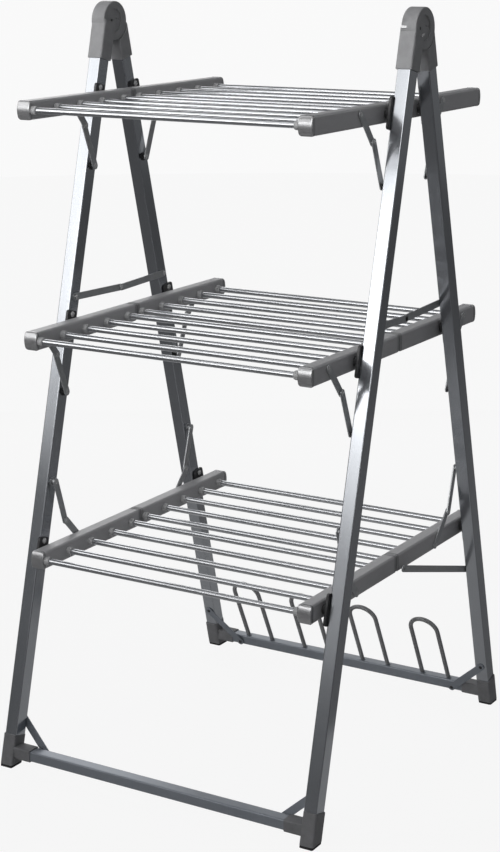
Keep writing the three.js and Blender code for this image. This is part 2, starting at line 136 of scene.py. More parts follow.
WINDOWS = ((LATCH_RISE, 0.0031, 0.0016), (-0.0024, 0.0013, 0.0013))  # rise, half height, depth
GRIP_RISES, GRIP_RADIUS, GRIP_PROUD = (0.0135, 0.0167, 0.0199), 0.0009, 0.0003

# Feet, crossbars and gussets.
FOOT_INNER, FOOT_OUTER = 0.3139, 0.3423
FOOT_DEPTH, FOOT_HEIGHT = 0.0334, 0.058
FOOT_CORNER, FOOT_EDGE = 0.004, 0.0009
FOOT_BLANK = -0.03  # height of the foot's lower end before it is trimmed
FOOT_SHELL_END, SOLE_TOP = 0.0048, 0.0047
SOLE_INSET, SOLE_CORNER, SOLE_EDGE = 0.0004, 0.0036, 0.0008
SOLE_BLANK = (-1.45, -1.40)  # places of the sole's ends along the leg before it is trimmed
BAR_HEIGHT, BAR_DEPTH, BAR_CORNER = 0.020, 0.025, 0.003
BAR_CENTRE, BAR_HOLD = 0.028, 0.012
SOCKET_MOUTH, SOCKET_WALL, SOCKET_LAP = 0.278, 0.0018, 0.010
SOCKET_CORNER, SOCKET_EDGE = 0.003, 0.0008
GUSSET_WIDTH, GUSSET_THICKNESS, GUSSET_EDGE = 0.015, 0.002, 0.0005
GUSSET_LEG_HEIGHT, GUSSET_BAR_PLACE = 0.091, 0.256
SCREW_RADIUS, SCREW_RISE = 0.0036, 0.0014
RECESS_LONG, RECESS_WIDE, RECESS_FLOOR = 0.0019, 0.0004, 0.0006  # the first two are halves

# Shoe hangers.
HANGER_PLACES = [(i - 1.5) * 0.1415 for i in range(4)]
HANGER_WIDTH, HANGER_LENGTH, HANGER_SUNK = 0.060, 0.165, 0.004
HANGER_LEAN = math.radians(26)
HANGER_SIDE_STEPS, HANGER_BEND_STEPS = 12, 20

# Profiles of turned pieces: pairs of a place along X, from the piece's face, and a radius.
STAY_STUD = (
    (0, 0), (0, 0.0047), (0.0003, 0.005), (0.0056, 0.005), (0.0056, 0.0078), (0.0060, 0.0082),
    (0.0075, 0.0082), (0.0075, 0),
)
PIVOT_BOSS = (
    (-0.0081, 0.0053), (-0.0081, 0.0092), (-0.0073, 0.010), (-0.0022, 0.010), (-0.0008, 0.0105),
    (0.0004, 0.0125), (0.001, 0.0125), (0.001, 0.0053),
)
BOLT_HEAD = (
    (0.0008, 0), (0.0008, 0.0056), (-0.0006, 0.0056), (-0.0007, 0.0048), (-0.0016, 0.0044),
    (-0.0024, 0.0034), (-0.0027, 0.0022), (-0.0027, 0),
)
BOLT_SOCKET, BOLT_SOCKET_FLOOR = 0.0021, -0.0012
SPREADER_RIVET = (
    (-0.0012, 0), (-0.0011, 0.0026), (-0.0006, 0.0042), (-0.0002, 0.0046), (0, RIVET_RADIUS),
    (0.0048, RIVET_RADIUS), (0.0048, 0),
)
SPREADER_KNUCKLE = (
    (-0.0011, 0), (-0.0009, 0.003), (-0.0003, 0.0047), (0, 0.0048), (0.0048, 0.0048), (0.0048, 0),
)
STRUT_SPACER = (
    (-0.0012, 0), (-0.001, 0.003), (0, 0.0045), (0.0028, 0.0054), (0.0052, 0.0054), (0.0052, 0),
)
WING_PIN = ((-0.0005, 0), (-0.0005, 0.005), (0.0125, 0.005), (0.0125, 0))
RAIL_RIVET = (
    (-0.0005, 0), (-0.0005, RIVET_RADIUS), (0.0030, RIVET_RADIUS), (0.0030, 0.0047),
    (0.0031, 0.0048), (0.0032, 0.0046), (0.0032, 0),
)
KNEE_RIVET = (
    (-0.0003, 0), (-0.0003, 0.0042), (0, 0.0047), (0.0054, 0.0047), (0.0057, 0.0047),
    (0.0063, 0.0036), (0.0065, 0),
)
HANGER_RING = ((0, 0.0047), (0, 0.0068), (0.0009, 0.0068), (0.0014, 0.0055), (0.0014, 0.0047))
LEG_RIVET_RADIUS, LEG_RIVET_RISE = 0.0047, 0.0012
DOME_SKIRT, DOME_STEPS, DOME_POWER = 0.0003, 6, 0.8
HEAD_SUNK = 0.0002  # of a domed head in what it stands on

# Studio and camera. The camera was fitted to the photo, in its pixels.
PHOTO_WIDTH, PHOTO_HEIGHT = 500, 852
CAMERA_PLACE = (1.8253, -3.0302, 1.5496)
CAMERA_YAW, CAMERA_TILT, CAMERA_ROLL = (math.radians(turn) for turn in (31.21, 90 - 13.15, -0.22))
FOCAL_LENGTH, IMAGE_CENTRE = 1911.25, (252.6, 376.9)
SENSOR_WIDTH = 36
HEADING = Matrix.Rotation(CAMERA_YAW, 4, "Z")
GROUND_RADIUS, GROUND_DROP, GROUND_SIDES = 9, 0.004, 96
SHEET_NEAR, SHEET_FAR = (-0.66, 0.46), (2.6, 0.92)  # place along the view, half width
MIDDLE = (0, 0, 0.75)
LAMPS = {  # place, target, size, watts, and the spread in degrees where it isn't full
    "key": ((-0.35, -2.85, 2.62), (0, 0, 1.6), (2.4, 2.6), 7.6, 54),
    "side_key": ((-2.3, -1.75, 2.62), (0, 0, 1.6), (1.9, 2.6), 4.1, 54),
    "over_key": ((-0.5, -1.55, 3.6), (0, 0, 0.9), (2.6, 1.3), 9),
    "tube_key": ((-1.6, -2.95, 1.8), (0, 0, 1.4), (1.1, 0.6), 0.5, 45),
    "middle_panel": ((-0.75, -2.95, 1.28), MIDDLE, (1.3, 0.55), 3.2),
    "left_panel": ((-2.15, -2.3, 1.22), MIDDLE, (0.9, 0.5), 0.9),
    "low_panel": ((-0.75, -2.95, 0.76), MIDDLE, (1.3, 0.5), 0.7),
    "right_fill": ((2.7, -1.9, 1.25), MIDDLE, (0.35, 1.0), 3.4),
    "back_fill": (HEADING @ Vector((0, 2.7, 0.75)), MIDDLE, (3.2, 0.9), 9),
    "back_left_key": ((-2.4, 2.2, 2.4), MIDDLE, (1.6, 1.6), 16),
    "back_right_key": ((2.2, 2.4, 2.5), MIDDLE, (1.6, 1.6), 5),
}

CORNERS = [(end, side) for end in ("front", "back") for side in ("left", "right")]
BOTH_SIDES, BOTH_ENDS = CORNERS[2:], CORNERS[1::2]  # of what is mirrored in one way only
SWAP_XY = Matrix(((0, 1, 0, 0), (1, 0, 0, 0), (0, 0, 1, 0), (0, 0, 0, 1)))


def leg_plane(height):
    """Outboard place of a leg's centre line at a height."""
    return LEG_SETBACK + (HINGE_HEIGHT - height) * math.tan(SPLAY)


def along_leg(height):
    """Place of a height along the leg, from the hinge's height."""
    return -(HINGE_HEIGHT - height) / math.cos(SPLAY)


def to_corner(end, side):
    """Mirroring from the back right to a corner of the airer."""
    return Matrix.Diagonal((1 if side == "right" else -1, 1 if end == "back" else -1, 1, 1))


# Modelling.


def deselect():
    if bpy.context.mode != "OBJECT":
        bpy.ops.object.mode_set(mode="OBJECT")
    bpy.ops.object.select_all(action="DESELECT")


def activate(*objects):
    deselect()
    for thing in objects:
        thing.select_set(True)
    bpy.context.view_layer.objects.active = objects[0]


def settle():
    """The active primitive's place and size go into its mesh."""
    bpy.ops.object.transform_apply(location=True, rotation=True, scale=True)
    return bpy.context.active_object


def box(low, high):
    low, high = Vector(low), Vector(high)
    deselect()
    bpy.ops.mesh.primitive_cube_add(size=1, location=(low + high) / 2, scale=high - low)
    return settle()


def drum(y, z, radius, start, end, sides=48):
    """A drum along X."""
    deselect()
    bpy.ops.mesh.primitive_cylinder_add(
        vertices=sides,
        radius=radius,
        depth=end - start,
        location=((start + end) / 2, y, z),
        rotation=(0, math.pi / 2, 0),
    )
    return settle()


def edit(piece, kind, test):
    """Opens a piece in edit mode with the vertices, edges or faces that pass the test selected."""
    activate(piece)
    bpy.ops.object.mode_set(mode="EDIT")
    bpy.ops.mesh.select_mode(type=kind)
    bpy.ops.mesh.select_all(action="DESELECT")
    mesh = bmesh.from_edit_mesh(piece.data)
    items = {"VERT": mesh.verts, "EDGE": mesh.edges, "FACE": mesh.faces}[kind]
    for item in items:
        if test(item):
            item.select_set(True)
    mesh.select_flush_mode()
    bmesh.update_edit_mesh(piece.data)


def close():
    bpy.ops.object.mode_set(mode="OBJECT")


def bevel(piece, test, width, segments):
    edit(piece, "EDGE", test)
    bpy.ops.mesh.bevel(offset=width, offset_type="OFFSET", segments=segments, affect="EDGES")
    close()
    return piece


def bisect(piece, level, **settings):
    """Cuts a piece's faces at a height, with its upper side as the outer one."""
    edit(piece, "FACE", lambda face: True)
    bpy.ops.mesh.bisect(plane_co=(0, 0, level), plane_no=(0, 0, 1), **settings)
    close()


def runs_along(axis, place=lambda middle: True):
    """Test for edges that run along an axis, and whose middles pass a test."""

    def test(edge):
        first, last = (v.co for v in edge.verts)
        step = (last - first).normalized()
        return abs(step[axis]) > 0.999 and place((first + last) / 2)

    return test


def rim(axis, *places):
    """Test for edges that lie in planes square to an axis."""
    return lambda edge: any(
        all(abs(v.co[axis] - place) < NEAR for v in edge.verts) for place in places
    )


def move(piece, matrix):
    piece.data.transform(matrix)
    if matrix.determinant() < 0:
        piece.data.flip_normals()
    piece.data.update()
    return piece


def copy_of(piece, matrix=None):
    made = piece.copy()
    made.data = piece.data.copy()
    bpy.context.collection.objects.link(made)
    return move(made, matrix) if matrix else made


def remove(*pieces):
    for piece in pieces:
        bpy.data.objects.remove(piece)


def combine(piece, operation, *tools):
    """Cuts a piece by tools or unites it with them."""
    for tool in tools:
        activate(piece)
        modifier = piece.modifiers.new("shape", "BOOLEAN")
        modifier.operation = operation
        modifier.solver = "EXACT"
        modifier.object = tool
        bpy.ops.object.modifier_apply(modifier=modifier.name)
        remove(tool)
    return piece


def bore(piece, place, radius, low, high, sides=32):
    """Bores a piece through along X, at a place given as depth and height."""
    return combine(piece, "DIFFERENCE", drum(*place, radius, low - OVERRUN, high + OVERRUN, sides))


def joined(*pieces):
    activate(*pieces)
    bpy.ops.object.join()
    return bpy.context.active_object


def turned(profile, place=(0, 0, 0), sides=32):
    """A turned piece about an axis along X, whose profile starts from a place."""
    x, y, z = place
    deselect()
    bpy.ops.mesh.primitive_plane_add(size=0.001)
    piece = bpy.context.active_object
    mesh = bmesh.new()
    points = [mesh.verts.new((x + along, y, z + radius)) for along, radius in profile]
    for first, last in zip(points, points[1:]):
        mesh.edges.new((first, last))
    mesh.to_mesh(piece.data)
    mesh.free()
    edit(piece, "VERT", lambda vertex: True)
    bpy.ops.mesh.spin(steps=sides, angle=2 * math.pi, center=(0, y, z), axis=(1, 0, 0))
    bpy.ops.mesh.select_all(action="SELECT")
    bpy.ops.mesh.remove_doubles(threshold=1e-6)
    bpy.ops.mesh.normals_make_consistent(inside=False)
    close()
    return piece


def dome(radius, height):
    """Profile of a domed head that rises towards the middle of the airer."""
    profile = [(0, 0), (0, radius), (-DOME_SKIRT, radius)]
    for i in range(1, DOME_STEPS):
        angle = math.pi / 2 * i / DOME_STEPS
        rise = DOME_SKIRT + (height - DOME_SKIRT) * math.sin(angle)
        profile.append((-rise, radius * math.cos(angle) ** DOME_POWER))
    return [*profile, (-height, 0)]


def flat_bar(start, end, width, low, high, edge=0.0004):
    """A flat bar with round ends between two points, given as depth and height, and two faces."""
    start, end = Vector(start), Vector(end)
    reach = (end - start).length
    piece = box((low, -width / 2, -width / 2), (high, reach + width / 2, width / 2))
    # At a full half the two roundings meet in a line, which the boolean solver can't take.
    bevel(piece, runs_along(0), width * 0.495, 10)
    bevel(piece, rim(0, low, high), edge, 2)
    turn = math.atan2(end.y - start.y, end.x - start.x)
    return move(piece, Matrix.Translation((0, start.x, start.y)) @ Matrix.Rotation(turn, 4, "X"))


def wire(points, radius, resolution):
    """A bent wire along points."""
    deselect()
    bpy.ops.curve.primitive_bezier_curve_add()
    piece = bpy.context.active_object
    curve = piece.data
    curve.splines.clear()
    spline = curve.splines.new("POLY")
    spline.points.add(len(points) - 1)
    for point, place in zip(spline.points, points):
        point.co = (*place, 1)
    curve.dimensions = "3D"
    curve.bevel_depth = radius
    curve.bevel_resolution = resolution
    curve.use_fill_caps = True
    activate(piece)
    bpy.ops.object.convert(target="MESH")
    return settle()


def dress(piece, name, slot, finish, node, body="root", angle=35):
    """Names a finished piece, smooths it, and puts it on its body with its finish."""
    piece.name = piece.data.name = name
    piece.data.materials.clear()
    piece.data.materials.append(finish_of(finish))
    activate(piece)
    bpy.ops.object.shade_smooth_by_angle(angle=math.radians(angle))
    modifier = piece.modifiers.new("normals", "WEIGHTED_NORMAL")
    modifier.keep_sharp = True
    bpy.ops.object.modifier_apply(modifier=modifier.name)
    deselect()
    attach(piece, body)
    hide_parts(node)


def part(model, name, slot, finish, node, body="root", angle=35):
    """What dress_corners() needs of a model. The texts may hold {end}, {side} and other words."""
    return model, (name, slot, finish, node, body), angle


def dress_corners(*parts, corners=CORNERS, **words):
    """Copies back right models to corners of the airer, dresses the copies, and removes them."""
    for end, side in corners:
        for model, texts, angle in parts:
            said = [text.format(end=end, side=side, **words) for text in texts]
            dress(copy_of(model, to_corner(end, side)), *said, angle)
    remove(*(model for model, _, _ in parts))


# Materials.


class Number:
    """A number in a material. Python's operators add its Math nodes."""

    def __init__(self, look, socket):
        self.look, self.socket = look, socket

    def maths(self, operation, *terms):
        node = self.look.node("ShaderNodeMath", {"operation": operation}, dict(enumerate(terms)))
        return Number(self.look, node.outputs[0])

    def __add__(self, other):
        return self.maths("ADD", self, other)

    def __mul__(self, other):
        return self.maths("MULTIPLY", self, other)

    __radd__ = __add__
    __rmul__ = __mul__


class Nodes:
    """A node tree under construction."""

    def __init__(self, tree):
        self.tree = tree
        tree.nodes.clear()

    def feed(self, target, value):
        if isinstance(value, Number):
            value = value.socket
        if isinstance(value, bpy.types.NodeSocket):
            self.tree.links.new(value, target)
        elif hasattr(value, "__len__") and len(value) == 3 and target.type == "RGBA":
            target.default_value = (*value, 1)
        else:
            target.default_value = value

    def node(self, kind, settings=None, sockets=None):
        made = self.tree.nodes.new(kind)
        for name, value in (settings or {}).items():
            setattr(made, name, value)
        for name, value in (sockets or {}).items():
            self.feed(made.inputs[name], value)
        return made

    def show_white(self, output, plain, white, camera, metal):
        """The camera, and metal and glass to a share, see white instead of the plain shader."""
        path = self.node("ShaderNodeLightPath").outputs
        rays = {"Camera": camera, "Glossy": metal, "Transmission": metal}
        seen = sum(Number(self, path[f"Is {ray} Ray"]) * share for ray, share in rays.items())
        blend = self.node("ShaderNodeMixShader", {}, {0: seen, 1: plain, 2: white})
        self.feed(output, blend.outputs[0])


class Look(Nodes):
    """A material under construction."""

    def __init__(self, name, **constants):
        self.material = bpy.data.materials.new(name)
        self.material.use_nodes = True
        super().__init__(self.material.node_tree)
        self.shader = self.node("ShaderNodeBsdfPrincipled")
        self.output = self.node("ShaderNodeOutputMaterial", {}, {0: self.shader.outputs[0]})
        for socket, value in constants.items():
            self.feed(self.shader.inputs[socket.replace("_", " ")], value)

    def place(self, scale=(1, 1, 1), turn=(0, 0, 0)):
        """Object coordinates, turned and scaled."""
        source = self.node("ShaderNodeTexCoord").outputs["Object"]
        sockets = {"Vector": source, "Rotation": turn, "Scale": scale}
        return self.node("ShaderNodeMapping", {}, sockets).outputs[0]

    def noise(self, place, scale, detail, roughness=0.5):
        sockets = {"Vector": place, "Scale": scale, "Detail": detail, "Roughness": roughness}
        return Number(self, self.node("ShaderNodeTexNoise", {}, sockets).outputs[0])

    def ramp(self, value, low, high):
        """0 below low, 1 above high."""
        made = self.node("ShaderNodeValToRGB", {}, {"Fac": value})
        for element, place in zip(made.color_ramp.elements, (low, high)):
            element.position = place
        return Number(self, made.outputs[0])

    def mixed(self, share, first, last):
        sockets = {0: share, 6: first, 7: last}
        return self.node("ShaderNodeMix", {"data_type": "RGBA"}, sockets).outputs[2]

    def clouded(self, share, color, low, high):
        """A colour that a share takes from low to high times its brightness."""
        return self.mixed(share, shade(color, low), shade(color, high))

    def finish(self, color, roughness, height=None, distance=0.0001, strength=0.5):
        self.feed(self.shader.inputs["Base Color"], color)
        self.feed(self.shader.inputs["Roughness"], roughness)
        if height is not None:
            sockets = {"Height": height, "Distance": distance, "Strength": strength}
            bump = self.node("ShaderNodeBump", {}, sockets)
            self.feed(self.shader.inputs["Normal"], bump.outputs[0])
        return self.material


def shade(color, factor):
    return tuple(min(1.0, channel * factor) for channel in color)


def brushed(name, color, turn, roughness=0.17, metallic=1.0):
    """Satin anodised aluminium, brushed along the turned Z axis."""
    look = Look(name, Metallic=metallic)
    lines = look.noise(look.place((1, 1, 0.012), turn), 1400, 2)
    cloud = look.noise(look.place((1, 1, 0.35), turn), 24, 4)
    speck = look.ramp(look.noise(look.place(), 900, 2), 0.66, 0.74)
    tone = look.clouded(lines * 0.5 + cloud * 0.5, color, 0.86, 1.12)
    tone = look.mixed(speck * 0.25, tone, shade(color, 0.6))
    rough = roughness - 0.04 + lines * 0.05 + cloud * 0.05
    return look.finish(tone, rough, lines, 0.00004, 0.35)


def polished(name, color):
    """Drawn and polished aluminium, with faint lines along the tube."""
    look = Look(name, Metallic=1.0)
    lines = look.noise(look.place((0.01, 1, 1)), 1800, 2)
    haze = look.noise(look.place((0.3, 1, 1)), 40, 3)
    tone = look.clouded(haze, color, 0.94, 1.04)
    return look.finish(tone, 0.17 + haze * 0.06 + lines * 0.04, lines, 0.00002, 0.25)


def coated(name, color):
    """Dark satin coating with a fine speckle."""
    look = Look(name, Metallic=0.15, Coat_Weight=0.15, Coat_Roughness=0.35)
    grain = look.noise(look.place(), 1500, 3, 0.6)
    cloud = look.noise(look.place((1, 0.3, 1)), 18, 4)
    fleck = look.ramp(look.noise(look.place(), 1100, 1), 0.62, 0.72)
    tone = look.clouded(cloud, color, 0.85, 1.15)
    tone = look.mixed(fleck * 0.45, tone, shade(color, 1.6))
    return look.finish(tone, 0.40 + cloud * 0.08 + grain * 0.08, grain, 0.00006, 0.5)


def moulded(name, color, roughness=0.52, mottle=0.25, metallic=0.0):
    """Moulded plastic with a spark-eroded grain and slight flow clouds."""
    look = Look(name, Metallic=metallic)
    grain = look.noise(look.place(), 1300, 4, 0.65)
    cloud = look.noise(look.place(), 55, 5, 0.6)
    pits = look.ramp(look.noise(look.place(), 700, 2), 0.60, 0.72)
    tone = look.clouded(cloud, color, 1 - mottle, 1 + mottle)
    tone = look.mixed(pits * 0.3, tone, shade(color, 0.6))
    return look.finish(tone, roughness - 0.06 + cloud * 0.1 + grain * 0.06, grain, 0.0001, 0.55)


def enamelled(name, color, metallic, peel, cloud, tones, distance, strength):
    """Stove enamel on steel, with an orange-peel surface. Peel and cloud are scale and detail."""
    look = Look(name, Metallic=metallic)
    peel = look.noise(look.place(), *peel)
    cloud = look.noise(look.place(), *cloud)
    tone = look.clouded(cloud, color, *tones)
    return look.finish(tone, 0.36 + cloud * 0.12, peel, distance, strength)


def zinc_plated(name, color):
    """Bright zinc-plated steel with faint spangles."""
    look = Look(name, Metallic=0.55)
    source = look.place()
    cells = look.node("ShaderNodeTexVoronoi", {}, {"Vector": source, "Scale": 260})
    spangle = Number(look, cells.outputs["Color"])
    scratch = look.noise(look.place((1, 0.05, 0.4)), 900, 2)
    cloud = look.noise(source, 60, 4)
    tone = look.clouded(spangle * 0.35 + cloud * 0.5, color, 0.8, 1.2)
    return look.finish(tone, 0.26 + spangle * 0.08 + cloud * 0.12, scratch, 0.00004, 0.3)


def nickel_bright(name, color):
    """Nickel-bright rivets, pins and screws."""
    look = Look(name, Metallic=0.5)
    cloud = look.noise(look.place(), 320, 3)
    tone = look.clouded(cloud, color, 0.8, 1.1)
    return look.finish(tone, 0.18 + cloud * 0.16, cloud, 0.00005, 0.3)


def studio_paper(name, color, camera, metal):
    """Pale paper. The camera sees it near white, and metal and glass see that to a share."""
    look = Look(name)
    cloud = look.noise(look.place(), 3, 2)
    tone = look.clouded(cloud, color, 0.99, 1.01)
    white = look.node("ShaderNodeEmission", {}, {"Color": (1, 1, 1), "Strength": 1.0})
    output, plain = look.output.inputs[0], look.shader.outputs[0]
    look.show_white(output, plain, white.outputs[0], camera, metal)
    return look.finish(tone, 0.9)


RUBBER = (0.03, 0.03, 0.032)
ALONG_X = (0, math.pi / 2, 0)
FINISHES = {
    "leg_aluminium_front": lambda name, own: brushed(name, own.legs, (SPLAY, 0, 0)),
    "leg_aluminium_back": lambda name, own: brushed(name, own.legs, (-SPLAY, 0, 0)),
    "slate_aluminium": lambda name, own: brushed(name, own.crossbars, ALONG_X, 0.36, 0.6),
    "polished_tube": lambda name, own: polished(name, own.tubes),
    "rail_paint": lambda name, own: coated(name, own.rails),
    "hinge_plastic": lambda name, own: moulded(name, own.plastic),
    "foot_plastic": lambda name, own: moulded(name, own.feet),
    "rail_cap_plastic": lambda name, own: moulded(name, own.rail_caps, 0.19, 0.08, 0.6),
    "collar_plastic": lambda name, own: moulded(name, own.collars, 0.38, 0.12),
    "sole_rubber": lambda name, own: moulded(name, RUBBER, 0.8, 0.2),
    "bracket_steel": lambda name, own: enamelled(
        name, own.brackets, 0.2, (420, 3), (40, 3), (0.75, 1.4), 0.00015, 0.4
    ),
    "hanger_enamel": lambda name, own: enamelled(
        name, own.hangers, 0.3, (500, 3), (45, 4), (0.8, 1.2), 0.0001, 0.3
    ),
    "zinc_steel": lambda name, own: zinc_plated(name, own.stays),
    "rivet_steel": lambda name, own: nickel_bright(name, own.rivets),
    "studio_sheet": lambda name, own: studio_paper(name, own.studio, 0.90, 0.11),
    "studio_ground": lambda name, own: studio_paper(name, own.ground, 0.93, 0.04),
}


def finish_of(name):
    colours = bpy.context.scene.airer_colours
    return bpy.data.materials.get(name) or FINISHES[name](name, colours)


# Sizes and colours that a user would change.


def length(name, description, value):
    return FloatProperty(name=name, description=description, default=value, unit="LENGTH")


def colour(name, description, value):
    return FloatVectorProperty(
        name=name, description=description, default=value, subtype="COLOR", min=0, max=1
    )


class AirerSizes(bpy.types.PropertyGroup):
    """Sizes of the airer's small details."""

    collar_radius: length("Collar radius", "Radius of the collar on each end of a tube", 0.0082)
    collar_length: length("Collar length", "Length of the collar on each end of a tube", 0.0105)
    rib_count: IntProperty(
        name="Cap ribs", description="Upright ribs on the front of a rail cap", default=13, min=2
    )
    bolt_spacing: length("Bolt spacing", "Distance of a bracket's bolts from its pivot", 0.022)
    hanger_radius: length("Hanger wire radius", "Radius of the wire of the shoe hangers", 0.0045)


class AirerColours(bpy.types.PropertyGroup):
    """Colours of the airer's finishes."""

    legs: colour("Legs", "Satin anodised aluminium", (0.46, 0.475, 0.50))
    crossbars: colour("Crossbars", "Slate anodised aluminium", (0.285, 0.305, 0.34))
    tubes: colour("Tubes", "Polished aluminium", (0.66, 0.67, 0.69))
    rails: colour("Rails", "Satin coating", (0.53, 0.525, 0.535))
    plastic: colour("Hinge caps", "Moulded hinge caps", (0.345, 0.345, 0.353))
    feet: colour("Feet", "Moulded feet", (0.205, 0.205, 0.212))
    rail_caps: colour("Rail caps", "Silvered caps on the rails", (0.46, 0.46, 0.465))
    collars: colour("Collars", "Moulded collars on the tubes", (0.47, 0.47, 0.475))
    brackets: colour("Brackets", "Black enamel", (0.05, 0.05, 0.052))
    stays: colour("Stays", "Zinc-plated steel", (0.50, 0.51, 0.52))
    rivets: colour("Rivets", "Bright steel", (0.78, 0.78, 0.78))
    hangers: colour("Hangers", "Grey enamel", (0.30, 0.30, 0.305))
    studio: colour("Studio", "Paper sheet under the airer", (0.58, 0.58, 0.58))
    ground: colour("Ground", "Floor round the paper", (0.28, 0.28, 0.285))


# Pieces.


class AIRER_OT_legs(bpy.types.Operator):
    """Adds the four leg tubes with their brackets, bolts and studs"""

    bl_idname = "airer.legs"
    bl_label = "Legs"

    def execute(self, context):
        half, low, high = LEG_DEPTH / 2, along_leg(LEG_END_HEIGHT), SLEEVE_END + SLEEVE_HOLD
        tube = box((LEG_INNER, -half, low), (LEG_OUTER, half, high))
        bevel(tube, runs_along(2), LEG_CORNER, 5)
        bevel(tube, rim(2, low, high), LEG_END_EDGE, 2)
        move(tube, LEG_FRAME)
        node = "{end}_{side}_leg"
        look = "leg_aluminium_{end}"
        dress_corners(part(tube, "{end}_{side}_leg_tube", "leg_aluminium", look, node))
        spacing = context.scene.airer_sizes.bolt_spacing
        for tier, height in TIERS.items():
            pivot = Vector((0, leg_plane(height) + PIVOT_OUTBOARD, height))
            _, y, z = LEG_FRAME.inverted() @ pivot
            plate = bracket_plate(y, z)
            bolts = joined(*(bolt_head(y, z + rise) for rise in (-spacing, spacing)))
            stud_height = height - STAYS[tier]["drop"]
            stud = turned(STAY_STUD, (STUD_FACE, leg_plane(stud_height), stud_height))
            steel = "zinc_steel" if tier == "bottom" else "bracket_steel"
            for model, name, look in (
                (move(plate, LEG_FRAME), "bracket", "bracket_steel"),
                (move(bolts, LEG_FRAME), "bracket_bolts", "rivet_steel"),
                (stud, "stay_stud", steel),
            ):
                name = f"{{end}}_{{side}}_{tier}_{name}"
                dress_corners(part(model, name, "stay_steel", look, node))
        place = (SPREADER_FACES["back"], leg_plane(SPREADER_HEIGHT), SPREADER_HEIGHT)
        rivet = turned(SPREADER_RIVET, place)
        name = "{end}_{side}_spreader_rivet"
        dress_corners(part(rivet, name, "stay_steel", "rivet_steel", node))
        return {"FINISHED"}


def bracket_plate(y, z):
    """Pressed bracket plate and its turned boss, in the leg's frame."""
    half, tall = BRACKET_WIDTH / 2, BRACKET_HEIGHT / 2
    plate = box((BRACKET_FACE, y - half, z - tall), (LEG_INNER + GAP, y + half, z + tall))
    bevel(plate, runs_along(0), BRACKET_CORNER, 6)
    bevel(plate, rim(0, BRACKET_FACE), BRACKET_EDGE, 3)
    return joined(plate, turned(PIVOT_BOSS, (BRACKET_FACE, y, z), 36))


def bolt_head(y, z):
    """Round-headed bolt with a hexagon socket, in the leg's frame."""
    head = turned(BOLT_HEAD, (BRACKET_FACE, y, z), 24)
    top, floor = BRACKET_FACE + BOLT_HEAD[-1][0], BRACKET_FACE + BOLT_SOCKET_FLOOR
    return combine(head, "DIFFERENCE", drum(y, z, BOLT_SOCKET, top - OVERRUN, floor, 6))


def hinge_cap(is_fork):
    """Moulded hinge cap: a sleeve round the leg's top and a round head on the hinge's axis."""
    half = SLEEVE_DEPTH / 2
    sleeve = box((CAP_INNER, -half, SLEEVE_END), (CAP_OUTER, half, 0))
    bevel(sleeve, runs_along(2), CAP_CORNER, 5)
    bevel(sleeve, rim(2, SLEEVE_END), CAP_MOUTH_EDGE, 2)
    move(sleeve, LEG_FRAME)

    def disc(radius, start, end):
        return drum(0, HINGE_HEIGHT, radius, start, end, 96)

    low, high = CAP_MIDDLE - TONGUE, CAP_MIDDLE + TONGUE
    if is_fork:
        head = disc(DISC_RADIUS, DOME_INNER, CAP_OUTER)
        bevel(head, rim(0, DOME_INNER, CAP_OUTER), DOME_EDGE, 4)
        combine(sleeve, "UNION", head)
        low, high = low - GAP, high + GAP
        slot = disc(DISC_RADIUS - CAP_SHELL, low, high)
        mouth = box(
            (low, -half - GAP, SLEEVE_END - MOUTH_DROP),
            (high, half + MOUTH_REACH, GAP),
        )
        move(mouth, to_corner("front", "right") @ LEG_FRAME)
        combine(sleeve, "DIFFERENCE", slot, mouth)
    else:
        cheeks = [
            disc(DISC_RADIUS + GAP, CAP_INNER - OVERRUN, low),
            disc(DISC_RADIUS + GAP, high, CAP_OUTER + OVERRUN),
        ]
        combine(sleeve, "DIFFERENCE", *cheeks)
        combine(sleeve, "UNION", disc(DISC_RADIUS - CAP_SHELL - GAP, low, high))
    deep = LEG_DEPTH / 2 + POCKET_GAP
    pocket = box(
        (LEG_INNER - POCKET_GAP, -deep, SLEEVE_END - OVERRUN),
        (LEG_OUTER + POCKET_GAP, deep, SLEEVE_END + POCKET_DEPTH),
    )
    bevel(pocket, runs_along(2), LEG_CORNER, 4)
    combine(sleeve, "DIFFERENCE", move(pocket, LEG_FRAME))
    if is_fork:
        shape_fork_face(sleeve)
    return sleeve


def shape_fork_face(cap):
    """Dish, release hole and dimples in both cheeks of a fork."""
    for face, inward, hole in ((CAP_OUTER, -1, OUTER_HOLE), (DOME_INNER, 1, INNER_HOLE)):
        for y, rise, radius, depth, sides in (DISH, (hole, *RELEASE_HOLE), *DIMPLES):
            low, high = sorted((face + inward * depth, face - inward * OVERRUN))
            combine(cap, "DIFFERENCE", drum(y, HINGE_HEIGHT + rise, radius, low, high, sides))


def cut_latch_window(cap):
    """Window and grip lines of the latch on the front of the right dome."""
    low, high = WINDOW_INNER, WINDOW_OUTER
    for rise, half, depth in WINDOWS:
        middle = HINGE_HEIGHT + rise
        window = box(
            (low, -DISC_RADIUS - OVERRUN, middle - half),
            (high, -DISC_RADIUS + depth, middle + half),
        )
        combine(cap, "DIFFERENCE", window)
    for rise in GRIP_RISES:
        y = -math.sqrt(DISC_RADIUS**2 - rise**2) - GRIP_PROUD
        combine(cap, "DIFFERENCE", drum(y, HINGE_HEIGHT + rise, GRIP_RADIUS, low, high, 12))


